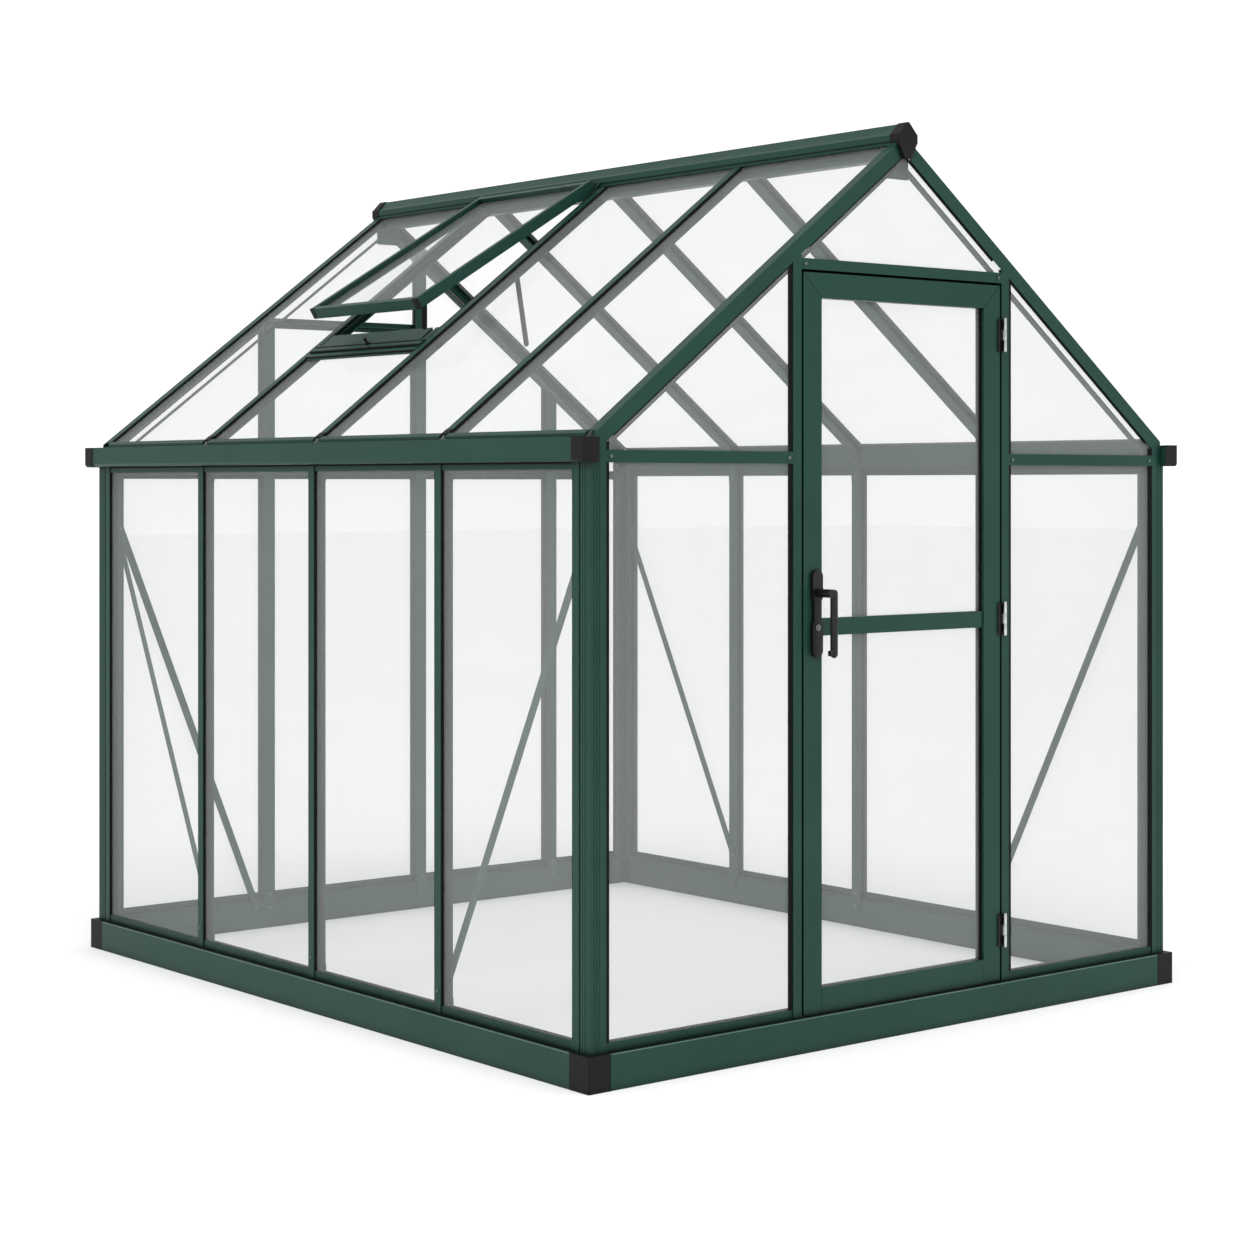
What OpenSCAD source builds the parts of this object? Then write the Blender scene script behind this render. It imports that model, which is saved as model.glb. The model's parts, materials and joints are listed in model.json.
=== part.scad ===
/* [Overall size] */
// Width across the base rails, side to side
base_w = 2200; // [1830:10:2640]
// Length of the base rails, front to back
base_l = 2550; // [2125:10:3060]
// Height of the roof surface where it starts behind the gutter
eave_h = 1603; // [1400:1:1900]
// Roof pitch in degrees
roof_pitch = 37.2; // [30:0.1:42]

/* [Base] */
// Height of the base rails
base_h = 90; // [70:1:110]
// Wall thickness of the base rails
base_t = 3; // [2:0.5:5]
// Length of a corner cap along the gable
cap_gable = 69; // [64:1:90]
// Length of a corner cap along the long wall
cap_wall = 75; // [66:1:100]

/* [Frame sections] */
// Distance from the base's outer face to the frame's outer face
face_in = 20; // [14:1:26]
// Thickness of the outer cover strips
strip_t = 3; // [2:0.5:5]
// Width of the outer cover strips
strip_w = 28; // [22:1:34]
// Thickness of the stems between panes
stem_t = 6; // [4:0.5:10]
// Width of the inner flanges
flange_w = 44; // [36:1:56]
// Thickness of the inner flanges
flange_t = 4; // [2:0.5:6]
// Full depth of a frame section, from the base's outer face
frame_in = 54; // [50:1:64]
// Thickness of the panes
pane_t = 4; // [3:0.5:6]
// Play on each face of a pane in its groove
pane_play = 0.3; // [0.1:0.1:0.5]
// Height of the bottom rails above the base
sill_h = 22; // [16:1:34]
// Number of bays along each long wall
bays = 4; // [3:1:5]
// Distance from the base's end to the first post centre
first_post = 45; // [40:1:50]

/* [Gables] */
// Width of the face of a gable rafter
verge_w = 39; // [32:1:46]
// Depth of the inner part of a gable rafter
verge_in = 58; // [50:1:66]
// Bottom of the front eave bars
bar_z = 1524; // [1350:1:1650]
// Height of an eave bar
bar_h = 31; // [26:1:40]
// Bottom of the rear eave bar
rear_bar_z = 1488; // [1350:1:1650]
// Centre of the first rear post from the middle
rear_post_1 = -474; // [-560:1:-380]
// Centre of the second rear post from the middle
rear_post_2 = 136; // [60:1:220]
// Centre of the third rear post from the middle
rear_post_3 = 708; // [620:1:800]
// Bottom of the rear header
rear_header_z = 1991; // [1900:1:2010]

/* [Door] */
// Width of the door
door_w = 746; // [622:1:800]
// Height of the door
door_h = 1929; // [1800:1:1940]
// Thickness of the door
door_t = 32; // [28:1:34]
// Gap beside and above the door
door_gap = 7; // [4:0.5:9]
// Gap under the door
door_lift = 3; // [2:0.5:6]
// Width of the door stiles
stile_w = 65; // [60:1:80]
// Height of the middle rail
mid_rail_h = 45; // [35:1:60]
// Centre height of the middle rail
mid_rail_z = 1098; // [1000:1:1150]
// Radius of a hinge pin
pin_r = 2.45; // [2:0.05:3.5]
// Running clearance around a pin or spindle
run_gap = 0.05; // [0.02:0.01:0.1]
// Length of a hinge
hinge_l = 88; // [70:1:110]

/* [Handle] */
// Distance the lever stands out from the door face
lever_out = 62; // [50:1:72]
// Height of the spindle
spindle_z = 1188; // [1150:1:1200]
// Distance of the spindle from the door edge
backset = 42; // [40:0.5:44]
// Travel of the latch bolt
bolt_throw = 12; // [9:0.5:13]

/* [Vent] */
// Length of the vent sash down the slope
sash_l = 760; // [633:1:800]
// Depth of the sash frame
sash_t = 34; // [26:1:40]
// Width of the sash stiles
sash_stile = 25; // [20:1:32]
// Angle the sash is propped open at
vent_open = 6; // [0:0.5:15]
// Bay the vent is in, counted from the front
vent_bay = 3; // [2:1:3]

/* [Hidden] */
hw = base_w / 2;
hl = base_l / 2;
knuckle_r = 5;
barrel_y = -hl + 9;
lever_t = 11;
leaf_proud = face_in - lever_out;
y_shift = -leaf_proud / 2;
tp = tan(roof_pitch);
cp = cos(roof_pitch);
eave_in = 43;
strip_in = face_in + strip_t;
pane_in = strip_in + 4;
lip_in = pane_in + pane_t + pane_play;
leg_t = pane_in - pane_play - strip_in;
lip_t = 3;
flange_in = frame_in - flange_t;
lip_w = strip_w;
gutter_z = 1526 + eave_h - 1603;
gutter_h = 60;
gutter_out = 17;
gutter_in = 34;
gutter_t = 3;
gutter_r = 9;
cap_t = 2;
web_t = 5;
sill_lip = 27;
body_x = 60;
body_y = 58;
flange_x = 71;
wall_strip_0 = 63;
wall_strip_1 = 89;
tube_t = 2.5;
pitch_y = (base_l - 2 * first_post) / bays;
pane_gap = 1;
ridge_half = 20;
hood_half = 34;
ridge_top = zr(0) + 35.5;
ridge_low = zd(ridge_half, frame_in - face_in) - 2;
pane_d0 = pane_in - face_in;
pane_d1 = pane_d0 + pane_t;
lip_d0 = pane_d1 + pane_play;
flange_d0 = flange_in - face_in;
flange_d1 = frame_in - face_in;
jamb_in = door_w / 2 + door_gap;
jamb_w = 30;
jamb_body = 18;
door_z0 = base_h + door_lift;
door_z1 = door_z0 + door_h;
door_y0 = -hl + face_in;
door_y1 = door_y0 + door_t;
header_z = door_z1 + door_gap;
header_h = 29;
hinge_x = jamb_in + 2;
hinge_zs = [door_z0 + 140, mid_rail_z, door_z1 - 137];
handle_x = -door_w / 2 + backset;
vent_x = 44;
vent_y0 = post_y(vent_bay - 1) + strip_w / 2;
vent_y1 = post_y(vent_bay) - strip_w / 2;
sash_side = 8.5;
sash_y0 = vent_y0 + sash_side;
sash_y1 = vent_y1 - sash_side;
vent_low_x = vent_x + sash_l * cp;
gusset_t = 3;
stop_t = 3;
brace_w = 25;
brace_t = 3;
screw_r = 4.5;
screw_h = 2.5;

frame_green = [0.24, 0.36, 0.32];
frame_shade = [0.18, 0.27, 0.24];
black = [0.1, 0.1, 0.1];
silver = [0.75, 0.75, 0.77];
clear = [0.85, 0.92, 0.92, 0.3];

// Height of the roof surface at a distance from the middle
function zr(x) = eave_h + tp * (hw - eave_in - abs(x));
// Height of a plane a depth below the roof surface
function zd(x, d) = zr(x) - d / cp;
// Centre of a long wall post
function post_y(i) = -hl + first_post + i * pitch_y;
// A strip of the left slope between two depths and two distances from the middle
function band(d0, d1, x0, x1) = [[-x0, zd(x0, d0)], [-x1, zd(x1, d0)],
  [-x1, zd(x1, d1)], [-x0, zd(x0, d1)]];
// The gable between two sides, from a height up to a depth below the roof
function under_roof(x0, x1, z0, d) = x0 * x1 < 0
  ? [[x0, z0], [x1, z0], [x1, zd(x1, d)], [0, zd(0, d)], [x0, zd(x0, d)]]
  : [[x0, z0], [x1, z0], [x1, zd(x1, d)], [x0, zd(x0, d)]];

// Puts the middle of the bounding box on the axis
module placed() {
  translate([0, y_shift, 0]) children();
}
// A box between limits
module bx(x0, x1, y0, y1, z0, z1) {
  translate([x0, y0, z0]) cube([x1 - x0, y1 - y0, z1 - z0]);
}
// Raises a side view between two places along the length
module slab(y0, y1) {
  translate([0, y1, 0]) rotate([90, 0, 0]) linear_extrude(y1 - y0) children();
}
// Raises a front view seen from the side between two places across the width
module across(x0, x1) {
  translate([x0, 0, 0]) rotate([90, 0, 90]) linear_extrude(x1 - x0) children();
}
module rightwards() {
  mirror([1, 0, 0]) children();
}
module rearwards() {
  mirror([0, 1, 0]) children();
}

module base_rail_front() {
  color(frame_green) placed()
    translate([-hw + cap_gable, -hl, 0]) rotate([90, 0, 90])
      linear_extrude(base_w - 2 * cap_gable) rail_tube();
}
// Section of a base rail, outer face on the zero line
module rail_tube() {
  difference() {
    square([frame_in, base_h]);
    translate([base_t, base_t])
      square([frame_in - 2 * base_t, base_h - 2 * base_t]);
  }
}
module base_rail_rear() {
  color(frame_green) placed() rearwards()
    translate([-hw + cap_gable, -hl, 0]) rotate([90, 0, 90])
      linear_extrude(base_w - 2 * cap_gable) rail_tube();
}
module base_side() {
  translate([-hw, hl - cap_wall, 0]) rotate([90, 0, 0])
    linear_extrude(base_l - 2 * cap_wall) rail_tube();
}
module base_rail_left() {
  color(frame_green) placed() base_side();
}
module base_rail_right() {
  color(frame_green) placed() rightwards() base_side();
}
module corner_cap() {
  bevel = 3;
  difference() {
    linear_extrude(base_h)
      polygon([[-hw + bevel, -hl], [-hw + cap_gable, -hl],
        [-hw + cap_gable, -hl + frame_in], [-hw + frame_in, -hl + frame_in],
        [-hw + frame_in, -hl + cap_wall], [-hw, -hl + cap_wall], [-hw, -hl + bevel]]);
    bx(-hw + base_t, -hw + frame_in - base_t, -hl + base_t, -hl + cap_wall - base_t,
      base_t, base_h - base_t);
    bx(-hw + base_t, -hw + cap_gable - base_t, -hl + base_t, -hl + frame_in - base_t,
      base_t, base_h - base_t);
  }
}
module base_corner_caps() {
  color(black) placed() {
    corner_cap();
    rightwards() corner_cap();
    rearwards() corner_cap();
    rightwards() rearwards() corner_cap();
  }
}

// Outer part of a post section, depth along x
module post_face() {
  translate([face_in, -strip_w / 2]) square([strip_t, strip_w]);
  translate([strip_in, -stem_t / 2]) square([lip_in - strip_in, stem_t]);
}
// Inner part of a post section
module post_back() {
  translate([lip_in, -lip_w / 2]) square([lip_t, lip_w]);
  translate([lip_in, -stem_t / 2]) square([flange_in - lip_in, stem_t]);
  translate([flange_in, -flange_w / 2]) square([flange_t, flange_w]);
}
module corner_section() {
  flute = 1.2;
  difference() {
    translate([face_in, face_in]) square([body_x - face_in, body_y - face_in]);
    for (k = [12, 20, 28]) {
      translate([face_in, face_in + k]) square([flute, flute]);
      translate([face_in + k, face_in]) square([flute, flute]);
    }
    translate([face_in + tube_t, face_in + tube_t])
      square([body_x - face_in - 2 * tube_t, body_y - face_in - 2 * tube_t]);
  }
  translate([body_x, face_in]) square([flange_x - body_x, strip_t]);
  translate([body_x, lip_in]) square([flange_x - body_x, lip_t]);
  translate([strip_in, body_y]) square([lip_in + lip_t - strip_in, 12]);
  translate([face_in, wall_strip_0]) square([strip_t, wall_strip_1 - wall_strip_0]);
  translate([lip_in, body_y]) square([lip_t, wall_strip_1 - body_y]);
  translate([flange_in, body_y]) square([flange_t, wall_strip_1 - body_y]);
  translate([body_x, flange_in]) square([wall_strip_1 - body_x, flange_t]);
}
module corner_post() {
  translate([-hw, -hl, base_h]) linear_extrude(gutter_z - base_h) corner_section();
  slab(-hl + face_in, -hl + strip_in)
    polygon([[-hw + gutter_in, gutter_z], [-hw + flange_x, gutter_z],
      [-hw + flange_x, zd(hw - flange_x, verge_w)],
      [-hw + gutter_in, zd(hw - gutter_in, verge_w)]]);
}
module corner_post_front_left() {
  color(frame_green) placed() corner_post();
}
module corner_post_front_right() {
  color(frame_green) placed() rightwards() corner_post();
}
module corner_post_rear_left() {
  color(frame_green) placed() rearwards() corner_post();
}
module corner_post_rear_right() {
  color(frame_green) placed() rightwards() rearwards() corner_post();
}
module side_posts() {
  for (i = [1 : bays - 1])
    translate([-hw, post_y(i), base_h]) linear_extrude(gutter_z - base_h) {
      post_face();
      post_back();
    }
}
module side_posts_left() {
  color(frame_green) placed() side_posts();
}
module side_posts_right() {
  color(frame_green) placed() rightwards() side_posts();
}
module rear_posts() {
  color(frame_green) placed()
    for (x = [rear_post_1, rear_post_2, rear_post_3]) {
      intersection() {
        translate([x, hl, base_h]) rotate(-90) linear_extrude(base_w) post_face();
        slab(0, hl)
          polygon(under_roof(x - strip_w, x + strip_w, 0, verge_w));
      }
      intersection() {
        translate([x, hl, base_h]) rotate(-90) linear_extrude(base_w) post_back();
        slab(0, hl)
          polygon(under_roof(x - flange_w, x + flange_w, 0, verge_in));
      }
    }
}

// Section of a bottom rail, depth along x
module sill_section() {
  translate([strip_in, 0]) square([leg_t, sill_h]);
  translate([strip_in, 0]) square([flange_in - strip_in, web_t]);
  translate([lip_in, 0]) square([lip_t, sill_lip]);
}
// Section of a top rail, depth along x
module plate_section() {
  translate([strip_in, -19]) square([leg_t, 19]);
  translate([strip_in, -4]) square([flange_in - strip_in, 4]);
  translate([lip_in, -26]) square([lip_t, 26]);
}
// First and last place along the wall that a bay's rails reach
function bay_0(i) = i == 0 ? -hl + wall_strip_1 : post_y(i) + strip_w / 2;
function bay_1(i) = i == bays - 1 ? hl - wall_strip_1 : post_y(i + 1) - strip_w / 2;

module sill_side() {
  for (i = [0 : bays - 1])
    translate([-hw, bay_1(i), base_h]) rotate([90, 0, 0])
      linear_extrude(bay_1(i) - bay_0(i)) sill_section();
}
module sill_rail_left() {
  color(frame_green) placed() sill_side();
}
module sill_rail_right() {
  color(frame_green) placed() rightwards() sill_side();
}
// A bottom rail along the front gable between two sides
module sill_gable(x0, x1) {
  translate([x0, -hl, base_h]) rotate([90, 0, 90]) linear_extrude(x1 - x0)
    sill_section();
}
module sill_rails_gables() {
  half = strip_w / 2;
  color(frame_green) placed() {
    sill_gable(-hw + flange_x, -jamb_in - jamb_w);
    sill_gable(jamb_in + jamb_w, hw - flange_x);
    rearwards() {
      sill_gable(-hw + flange_x, rear_post_1 - half);
      sill_gable(rear_post_1 + half, rear_post_2 - half);
      sill_gable(rear_post_2 + half, rear_post_3 - half);
      sill_gable(rear_post_3 + half, hw - flange_x);
    }
  }
}
module top_rail() {
  for (i = [0 : bays - 1])
    translate([-hw, bay_1(i), gutter_z]) rotate([90, 0, 0])
      linear_extrude(bay_1(i) - bay_0(i)) plate_section();
  slab(-hl + strip_in, hl - strip_in) difference() {
    polygon([[-hw + gutter_in, gutter_z], [-hw + frame_in, gutter_z],
      [-hw + frame_in, zd(hw - frame_in, pane_d1 + 0.1)],
      [-hw + gutter_in, zd(hw - gutter_in, pane_d1 + 0.1)]]);
    polygon([[-hw + gutter_in + tube_t, gutter_z + tube_t],
      [-hw + frame_in - tube_t, gutter_z + tube_t],
      [-hw + frame_in - tube_t, zd(hw - frame_in + tube_t, pane_d1) - tube_t],
      [-hw + gutter_in + tube_t, zd(hw - gutter_in - tube_t, pane_d1) - tube_t]]);
  }
}
module top_rail_left() {
  color(frame_shade) placed() {
    top_rail();
    drip_bars();
  }
}
module top_rail_right() {
  color(frame_shade) placed() rightwards() {
    top_rail();
    drip_bars();
  }
}
// Clamping bars over the lower edges of the roof panes
module drip_bars() {
  for (i = [0 : bays - 1])
    slab(roof_0(i), roof_1(i))
      polygon(band(0, pane_d0, hw - gutter_in, hw - gutter_in - 12));
}
// First and last place along the roof that a pane shows between the strips
function roof_0(i) = i == 0 ? -hl + frame_in + 2 : post_y(i) + strip_w / 2;
function roof_1(i) = i == bays - 1 ? hl - frame_in - 2 : post_y(i + 1) - strip_w / 2;
module gutter_outline(r, grow) {
  x0 = -gutter_out - grow;
  z0 = gutter_z - grow;
  translate([-hw + x0 + r, z0]) square([gutter_in - gutter_t - x0 - r, gutter_h]);
  translate([-hw + x0, z0 + r]) square([gutter_in - gutter_t - x0, gutter_h - r + grow]);
  translate([-hw + x0 + r, z0 + r]) circle(r, $fn = 48);
}
module gutter() {
  slab(-hl + cap_t, hl - cap_t) {
    difference() {
      gutter_outline(gutter_r, 0);
      gutter_outline(gutter_r - gutter_t, -gutter_t);
      translate([-hw, gutter_z + gutter_h]) square([gutter_in, gutter_h]);
    }
    translate([-hw + gutter_in - gutter_t, gutter_z])
      square([gutter_t, zd(hw - gutter_in + gutter_t, pane_d1) - gutter_z - 1]);
    translate([-hw - gutter_out, gutter_z + gutter_h - gutter_t])
      square([gutter_r, gutter_t]);
  }
}
module gutter_left() {
  color(frame_green) placed() gutter();
}
module gutter_right() {
  color(frame_green) placed() rightwards() gutter();
}
module gutter_cap() {
  skirt = 45;
  slab(-hl, -hl + cap_t) {
    gutter_outline(gutter_r + cap_t, cap_t);
    translate([-hw, gutter_z]) square([gutter_in, gutter_h]);
  }
  slab(-hl + cap_t, -hl + skirt) difference() {
    gutter_outline(gutter_r + cap_t, cap_t);
    gutter_outline(gutter_r, 0);
    translate([-hw + face_in - 1, 0]) square([base_w, 2 * gutter_z]);
    translate([-hw - gutter_out, gutter_z + gutter_r])
      square([base_w, 2 * gutter_z]);
  }
}
module gutter_end_caps() {
  color(black) placed() {
    gutter_cap();
    rightwards() gutter_cap();
    rearwards() gutter_cap();
    rightwards() rearwards() gutter_cap();
  }
}

// One side of the ridge bar's hood, from the top down
function hood_side(s) = [[s * 3, ridge_top - 1], [s * 14, ridge_top - 14],
  [s * 24, ridge_top - 25], [s * hood_half, ridge_top - hood_half + 1],
  [s * hood_half, zr(hood_half) + 12], [s * (hood_half - 4), zr(hood_half) + 11],
  [s * (hood_half - 4), zr(hood_half) + 7], [s * hood_half, zr(hood_half) + 6],
  [s * hood_half, zr(hood_half)]];
module ridge_outline() {
  b = ridge_half;
  left = hood_side(-1);
  polygon(concat(hood_side(1), [[b, zr(b)], [b, ridge_low], [-b, ridge_low],
    [-b, zr(b)]], [for (i = [8 : -1 : 0]) left[i]]));
}
module ridge_core() {
  b = ridge_half - tube_t;
  polygon([[0, ridge_top - 8], [b, ridge_top - 30], [b, ridge_low + tube_t],
    [-b, ridge_low + tube_t], [-b, ridge_top - 30]]);
}
module ridge_beam() {
  color(frame_shade) placed() {
    slab(-hl + face_in, hl - face_in) difference() {
      ridge_outline();
      ridge_core();
    }
    vent_lug();
    translate([0, vent_y0 + vent_y1, 0]) rearwards() vent_lug();
  }
}
// Upper part of a ridge cap's outline, grown out of the hood
function cap_top(grow) = [[3 + grow / 2, ridge_top - 1 + grow],
  [hood_half + grow, ridge_top - hood_half + 1 + grow / 2]];
module ridge_cap() {
  skirt = 43;
  face = 8;
  w = hood_half + cap_t;
  t = cap_top(cap_t);
  i = cap_top(0.1);
  slab(-hl + face, -hl + face_in)
    polygon([t[0], t[1], [w, zr(w) + 10], [12.5, ridge_low], [-12.5, ridge_low],
      [-w, zr(w) + 10], [-t[1][0], t[1][1]], [-t[0][0], t[0][1]]]);
  slab(-hl + face_in, -hl + skirt) difference() {
    polygon([t[0], t[1], [w, zr(w) + 10], [-w, zr(w) + 10], [-t[1][0], t[1][1]],
      [-t[0][0], t[0][1]]]);
    polygon([i[0], i[1], [i[1][0], 0], [-i[1][0], 0], [-i[1][0], i[1][1]],
      [-i[0][0], i[0][1]]]);
  }
}
module ridge_end_caps() {
  color(black) placed() {
    ridge_cap();
    rearwards() ridge_cap();
  }
}

// One slope of a gable rafter
module gable_rafter() {
  slab(-hl + face_in, -hl + strip_in)
    polygon(band(0, verge_w, hw - gutter_in, ridge_half));
  slab(-hl + strip_in, -hl + lip_in) {
    polygon(band(0, strip_t, hw - eave_in, ridge_half));
    polygon(band(strip_t, verge_w - 8, hw - frame_in, ridge_half));
  }
  slab(-hl + lip_in, -hl + frame_in) {
    polygon(band(0, strip_t, hw - eave_in, ridge_half));
    difference() {
      polygon(band(strip_t, verge_in, hw - frame_in, ridge_half));
      polygon(band(strip_t + tube_t, verge_in - tube_t,
        hw - frame_in - tube_t, ridge_half + tube_t));
    }
  }
}
module gable_rafters_front() {
  color(frame_green) placed() {
    gable_rafter();
    rightwards() gable_rafter();
  }
}
module gable_rafters_rear() {
  color(frame_green) placed() rearwards() {
    gable_rafter();
    rightwards() gable_rafter();
  }
}
module rafters() {
  for (i = [1 : bays - 1]) {
    y = post_y(i);
    slab(y - strip_w / 2, y + strip_w / 2) {
      polygon(band(0, strip_t, hw - eave_in, ridge_half));
      polygon(band(lip_d0, lip_d0 + lip_t, hw - frame_in, ridge_half));
    }
    slab(y - stem_t / 2, y + stem_t / 2) {
      polygon(band(strip_t, pane_d1, hw - eave_in, ridge_half));
      polygon(band(pane_d1, flange_d0, hw - frame_in, ridge_half));
    }
    slab(y - flange_w / 2, y + flange_w / 2)
      polygon(band(flange_d0, flange_d1, hw - frame_in, ridge_half));
  }
}
module rafters_left() {
  color(frame_green) placed() rafters();
}
module rafters_right() {
  color(frame_green) placed() rightwards() rafters();
}

// Section of a crossbar, depth along x
module bar_section(h) {
  translate([face_in, 0]) square([strip_t, h]);
  translate([strip_in, h / 2 - web_t / 2]) square([flange_in - strip_in, web_t]);
  translate([lip_in, 0]) square([lip_t, h]);
}
module bar_gable(x0, x1, z, h) {
  translate([x0, -hl, z]) rotate([90, 0, 90]) linear_extrude(x1 - x0) bar_section(h);
}
// Keeps what lies under the gable rafters
module under_verge() {
  intersection() {
    children();
    union() {
      slab(-hl, -hl + lip_in) polygon(under_roof(-hw + 1, hw - 1, 0, verge_w));
      slab(-hl + lip_in, 0) polygon(under_roof(-hw + 1, hw - 1, 0, verge_in));
    }
  }
}
module gable_crossbars() {
  half = strip_w / 2;
  color(frame_green) placed() {
    under_verge() {
      bar_gable(-hw + flange_x, -jamb_in - jamb_w, bar_z, bar_h);
      bar_gable(jamb_in + jamb_w, hw - flange_x, bar_z, bar_h);
    }
    rearwards() {
      bar_gable(-hw + flange_x, rear_post_1 - half, rear_bar_z, bar_h);
      bar_gable(rear_post_1 + half, rear_post_2 - half, rear_bar_z, bar_h);
      bar_gable(rear_post_2 + half, rear_post_3 - half, rear_bar_z, bar_h);
      bar_gable(rear_post_3 + half, hw - flange_x, rear_bar_z, bar_h);
      under_verge()
        bar_gable(rear_post_1 + half, rear_post_2 - half, rear_header_z, bar_h + 3);
    }
  }
}

// Door jamb on the latch side, with a slot for the bolt
module jamb() {
  x1 = -jamb_in;
  x0 = x1 - jamb_body;
  intersection() {
    union() {
      bx(x0 - jamb_w + jamb_body, x0, -hl + face_in, -hl + strip_in, base_h, base_w);
      bx(x0, x1, -hl + face_in, -hl + lip_in, base_h, base_w);
    }
    slab(-hl, 0) polygon(under_roof(x0 - jamb_w, x1 + 1, 0, verge_w));
  }
  intersection() {
    union() {
      bx(x0 - jamb_w + jamb_body, x0, -hl + lip_in, -hl + lip_in + lip_t, base_h, base_w);
      bx(x0, x1, -hl + lip_in, -hl + frame_in, base_h, base_w);
    }
    slab(-hl, 0) polygon(under_roof(x0 - jamb_w, x1 + 1, 0, verge_in));
  }
}
// Stop behind the edge of the door
module jamb_stop() {
  bx(-jamb_in - 12, -jamb_in + 14, -hl + frame_in, -hl + frame_in + stop_t,
    base_h, header_z + 14);
}
module jamb_core() {
  bx(-jamb_in - jamb_body + tube_t, -jamb_in - tube_t, -hl + strip_in,
    -hl + frame_in - tube_t, base_h - 1, header_z);
}
module door_jamb_left() {
  color(frame_green) placed() difference() {
    union() {
      jamb();
      jamb_stop();
    }
    jamb_core();
    bx(-jamb_in - tube_t - 1, -jamb_in + 1, -hl + 29, -hl + 43,
      spindle_z - 11, spindle_z + 11);
  }
}
module door_jamb_right() {
  color(frame_green) placed() rightwards() difference() {
    union() {
      jamb();
      jamb_stop();
    }
    jamb_core();
  }
}
module door_header() {
  body_h = 16;
  color(frame_green) placed() {
    bx(-jamb_in, jamb_in, -hl + face_in, -hl + strip_in, header_z, header_z + header_h);
    difference() {
      intersection() {
        bx(-jamb_in, jamb_in, -hl + strip_in, -hl + frame_in, header_z,
          header_z + body_h);
        slab(-hl, 0) polygon(under_roof(-jamb_in - 1, jamb_in + 1, 0, verge_in));
      }
      bx(-jamb_in + strip_w, jamb_in - strip_w, -hl + strip_in + tube_t,
        -hl + frame_in - tube_t, header_z + tube_t, header_z + body_h - tube_t);
    }
    bx(-jamb_in + 14, jamb_in - 14, -hl + frame_in, -hl + frame_in + stop_t,
      header_z - 14, header_z + 14);
    intersection() {
      bx(-jamb_in, jamb_in, -hl + lip_in, -hl + lip_in + lip_t,
        header_z + body_h, header_z + header_h);
      slab(-hl, 0) polygon(under_roof(-jamb_in - 1, jamb_in + 1, 0, verge_in));
    }
  }
}

module wall_panels() {
  for (i = [0 : bays - 1]) {
    y0 = i == 0 ? -hl + body_y + 12 : post_y(i) + stem_t / 2;
    y1 = i == bays - 1 ? hl - body_y - 12 : post_y(i + 1) - stem_t / 2;
    bx(-hw + pane_in, -hw + pane_in + pane_t, y0 + pane_gap, y1 - pane_gap,
      base_h + web_t, gutter_z - web_t);
  }
}
module wall_panels_left() {
  color(clear) placed() wall_panels();
}
module wall_panels_right() {
  color(clear) placed() rightwards() wall_panels();
}
// A gable pane under the roof line
module high_pane(x0, x1, z0) {
  a = x0 + pane_gap;
  b = x1 - pane_gap;
  r = ridge_half + pane_gap;
  slab(-hl + pane_in, -hl + pane_in + pane_t) difference() {
    intersection() {
      polygon(under_roof(a, b, 0, verge_w - 6));
      translate([a, z0]) square([b - a, ridge_top]);
    }
    translate([-r, ridge_low - pane_gap]) square([2 * r, base_w]);
  }
}
// A gable pane between two crossbars
module low_pane(x0, x1, z0, z1) {
  bx(x0 + pane_gap, x1 - pane_gap, -hl + pane_in, -hl + pane_in + pane_t,
    z0, z1 - pane_gap);
}
module side_of_door() {
  x0 = -hw + body_x;
  x1 = -jamb_in - jamb_body;
  mid = bar_z + bar_h / 2;
  low_pane(x0, x1, base_h + web_t, mid - web_t / 2);
  high_pane(x0, x1, mid + web_t / 2);
}
module gable_panels_front() {
  color(clear) placed() {
    side_of_door();
    rightwards() side_of_door();
    high_pane(-jamb_in, jamb_in, header_z + 16);
  }
}
module gable_panels_rear() {
  s = stem_t / 2;
  edges = [[-hw + body_x, rear_post_1 - s], [rear_post_1 + s, rear_post_2 - s],
    [rear_post_2 + s, rear_post_3 - s], [rear_post_3 + s, hw - body_x]];
  mid = rear_bar_z + bar_h / 2;
  head = rear_header_z + (bar_h + 3) / 2;
  color(clear) placed() rearwards() {
    for (e = edges)
      low_pane(e[0], e[1], base_h + web_t, mid - web_t / 2);
    for (i = [0, 2, 3])
      high_pane(edges[i][0], edges[i][1], mid + web_t / 2);
    low_pane(edges[1][0], edges[1][1], mid + web_t / 2, head - web_t / 2);
    high_pane(edges[1][0], edges[1][1], head + web_t / 2);
  }
}
// Roof pane of a bay, down the slope from a distance off the middle
module roof_pane(i, x1) {
  y0 = i == 0 ? -hl + frame_in : post_y(i) + stem_t / 2;
  y1 = i == bays - 1 ? hl - frame_in : post_y(i + 1) - stem_t / 2;
  slab(y0 + pane_gap, y1 - pane_gap)
    polygon(band(pane_d0, pane_d1, hw - gutter_in + 4, x1));
}
module roof_panels_left() {
  color(clear) placed()
    for (i = [0 : bays - 1])
      roof_pane(i, i == vent_bay - 1 ? sill_x + 8 : ridge_half + pane_gap);
}
module roof_panels_right() {
  color(clear) placed() rightwards()
    for (i = [0 : bays - 1])
      roof_pane(i, ridge_half + pane_gap);
}

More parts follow.
